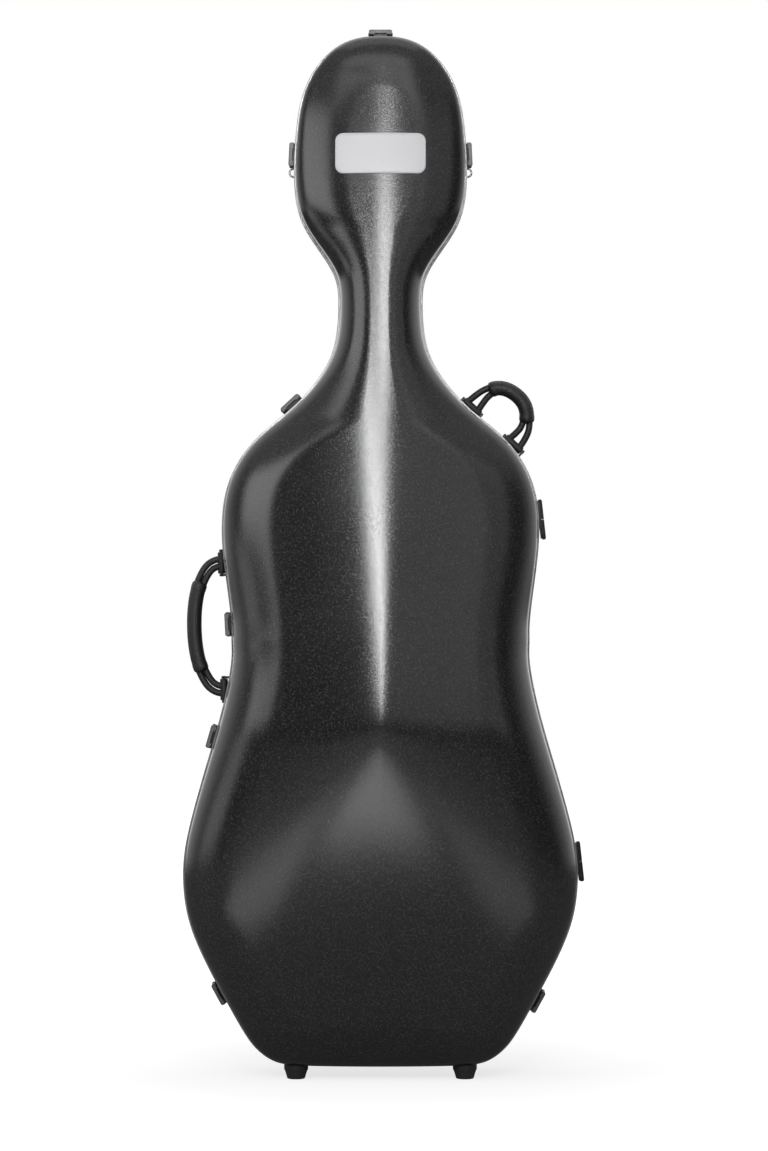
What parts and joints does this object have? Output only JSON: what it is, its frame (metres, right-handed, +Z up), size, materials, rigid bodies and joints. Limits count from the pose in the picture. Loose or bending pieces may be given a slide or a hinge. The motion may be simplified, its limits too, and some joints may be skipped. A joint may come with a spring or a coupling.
{
  "type": "cello hard case",
  "caption": "Moulded hard case for a cello: two shells hinged along one side, closed by rim latches, with carrying handles, rubber feet and a padded inside with a neck cradle and a bow rest.",
  "frame": {"origin": "on the ground under the middle of the closed, standing case", "axes": "+Z up along the case from its feet to its head, -Y towards the lid, +X towards the hinged side"},
  "size_m": [0.518, 0.2888, 1.3506],
  "materials": {
    "shell": "satin black with a fine moulded grain",
    "rim": "grey anodised",
    "seal": "matt",
    "foot": "matt",
    "lining": "short plush",
    "cushion": "plush over foam",
    "latch": "satin black",
    "lever": "satin grey",
    "hinge": "satin black",
    "wire": "polished",
    "strap": "stitched black",
    "grip": "wrapped black with a seam",
    "badge": "bare satin plate"
  },
  "bodies": {
    "case_back": {"back_shell": "shell", "back_rim": "rim", "rim_seal": "seal", "back_lining": "lining", "foot_rear_left": "foot", "foot_rear_right": "foot", "latch_base_top": "latch", "latch_base_head_left": "latch", "latch_base_head_right": "latch", "latch_base_shoulder_left": "latch", "latch_base_upper_side_left": "latch", "latch_base_lower_side_left": "latch", "latch_base_bottom_left": "latch", "latch_base_bottom_right": "latch", "hinge_back_leaf_upper": "hinge", "hinge_back_leaf_lower": "hinge", "strap_eye_left": "wire", "strap_eye_right": "wire", "side_handle_anchor_upper": "hinge", "side_handle_anchor_lower": "hinge", "shoulder_handle_anchor_upper": "hinge", "shoulder_handle_anchor_lower": "hinge", "neck_cradle": "cushion", "neck_strap": "strap", "upper_pad_left": "cushion", "upper_pad_right": "cushion", "base_cushion": "cushion"},
    "lid": {"lid_shell": "shell", "lid_rim": "rim", "lid_lining": "lining", "foot_front_left": "foot", "foot_front_right": "foot", "badge_plate": "badge", "latch_keeper_top": "latch", "latch_keeper_head_left": "latch", "latch_keeper_head_right": "latch", "latch_keeper_shoulder_left": "latch", "latch_keeper_upper_side_left": "latch", "latch_keeper_lower_side_left": "latch", "latch_keeper_bottom_left": "latch", "latch_keeper_bottom_right": "latch", "hinge_lid_leaf_upper": "hinge", "hinge_lid_leaf_lower": "hinge", "bow_rest": "cushion", "bow_tip_pocket": "lining"},
    "lever_top": {"latch_lever_top": "lever"},
    "lever_head_left": {"latch_lever_head_left": "lever"},
    "lever_head_right": {"latch_lever_head_right": "lever"},
    "lever_shoulder_left": {"latch_lever_shoulder_left": "lever"},
    "lever_upper_side_left": {"latch_lever_upper_side_left": "lever"},
    "lever_lower_side_left": {"latch_lever_lower_side_left": "lever"},
    "lever_bottom_left": {"latch_lever_bottom_left": "lever"},
    "lever_bottom_right": {"latch_lever_bottom_right": "lever"},
    "side_handle": {"side_handle_strap": "strap", "side_handle_grip": "grip"},
    "shoulder_handle": {"shoulder_handle_strap": "strap", "shoulder_handle_grip": "grip"},
    "toggle_left": {"bow_toggle_left": "latch"},
    "toggle_right": {"bow_toggle_right": "latch"}
  },
  "joints": [
    {"name": "lid_hinge", "type": "hinge", "parent": "case_back", "child": "lid", "pos_m": [0.20836, 0.0145, 0.7193], "axis": [-0.1111, 0, 0.9938], "range_deg": [0, 105]},
    {"name": "lever_top_pivot", "type": "hinge", "parent": "case_back", "child": "lever_top", "pos_m": [0, 0.0285, 1.3473], "axis": [-1, 0, 0], "range_deg": [0, 95]},
    {"name": "lever_head_left_pivot", "type": "hinge", "parent": "case_back", "child": "lever_head_left", "pos_m": [-0.11485, 0.0285, 1.19017], "axis": [-0.0481, 0, -0.9988], "range_deg": [0, 95]},
    {"name": "lever_head_right_pivot", "type": "hinge", "parent": "case_back", "child": "lever_head_right", "pos_m": [0.11485, 0.0285, 1.19017], "axis": [-0.0481, 0, 0.9988], "range_deg": [0, 95]},
    {"name": "lever_shoulder_left_pivot", "type": "hinge", "parent": "case_back", "child": "lever_shoulder_left", "pos_m": [-0.1165, 0.0285, 0.86945], "axis": [-0.7326, 0, -0.6807], "range_deg": [0, 95]},
    {"name": "lever_upper_side_left_pivot", "type": "hinge", "parent": "case_back", "child": "lever_upper_side_left", "pos_m": [-0.19751, 0.0285, 0.58374], "axis": [0.0513, 0, -0.9987], "range_deg": [0, 95]},
    {"name": "lever_lower_side_left_pivot", "type": "hinge", "parent": "case_back", "child": "lever_lower_side_left", "pos_m": [-0.21878, 0.0285, 0.43929], "axis": [-0.2768, 0, -0.9609], "range_deg": [0, 95]},
    {"name": "lever_bottom_left_pivot", "type": "hinge", "parent": "case_back", "child": "lever_bottom_left", "pos_m": [-0.20893, 0.0285, 0.10695], "axis": [0.4774, 0, -0.8787], "range_deg": [0, 95]},
    {"name": "lever_bottom_right_pivot", "type": "hinge", "parent": "case_back", "child": "lever_bottom_right", "pos_m": [0.20346, 0.0285, 0.09694], "axis": [0.481, 0, 0.8767], "range_deg": [0, 95]},
    {"name": "side_handle_pivot", "type": "hinge", "parent": "case_back", "child": "side_handle", "pos_m": [-0.20536, 0.0705, 0.58091], "axis": [0.0188, 0, -0.9998], "range_deg": [-30, 75]},
    {"name": "shoulder_handle_pivot", "type": "hinge", "parent": "case_back", "child": "shoulder_handle", "pos_m": [0.14583, 0.0585, 0.84173], "axis": [-0.7454, 0, 0.6666], "range_deg": [-60, 75]},
    {"name": "toggle_left_pivot", "type": "hinge", "parent": "lid", "child": "toggle_left", "pos_m": [-0.026, -0.0755, 0.3], "axis": [0, 1, 0], "range_deg": [0, 90]},
    {"name": "toggle_right_pivot", "type": "hinge", "parent": "lid", "child": "toggle_right", "pos_m": [0.026, -0.0755, 0.3], "axis": [0, -1, 0], "range_deg": [0, 90]}
  ]
}
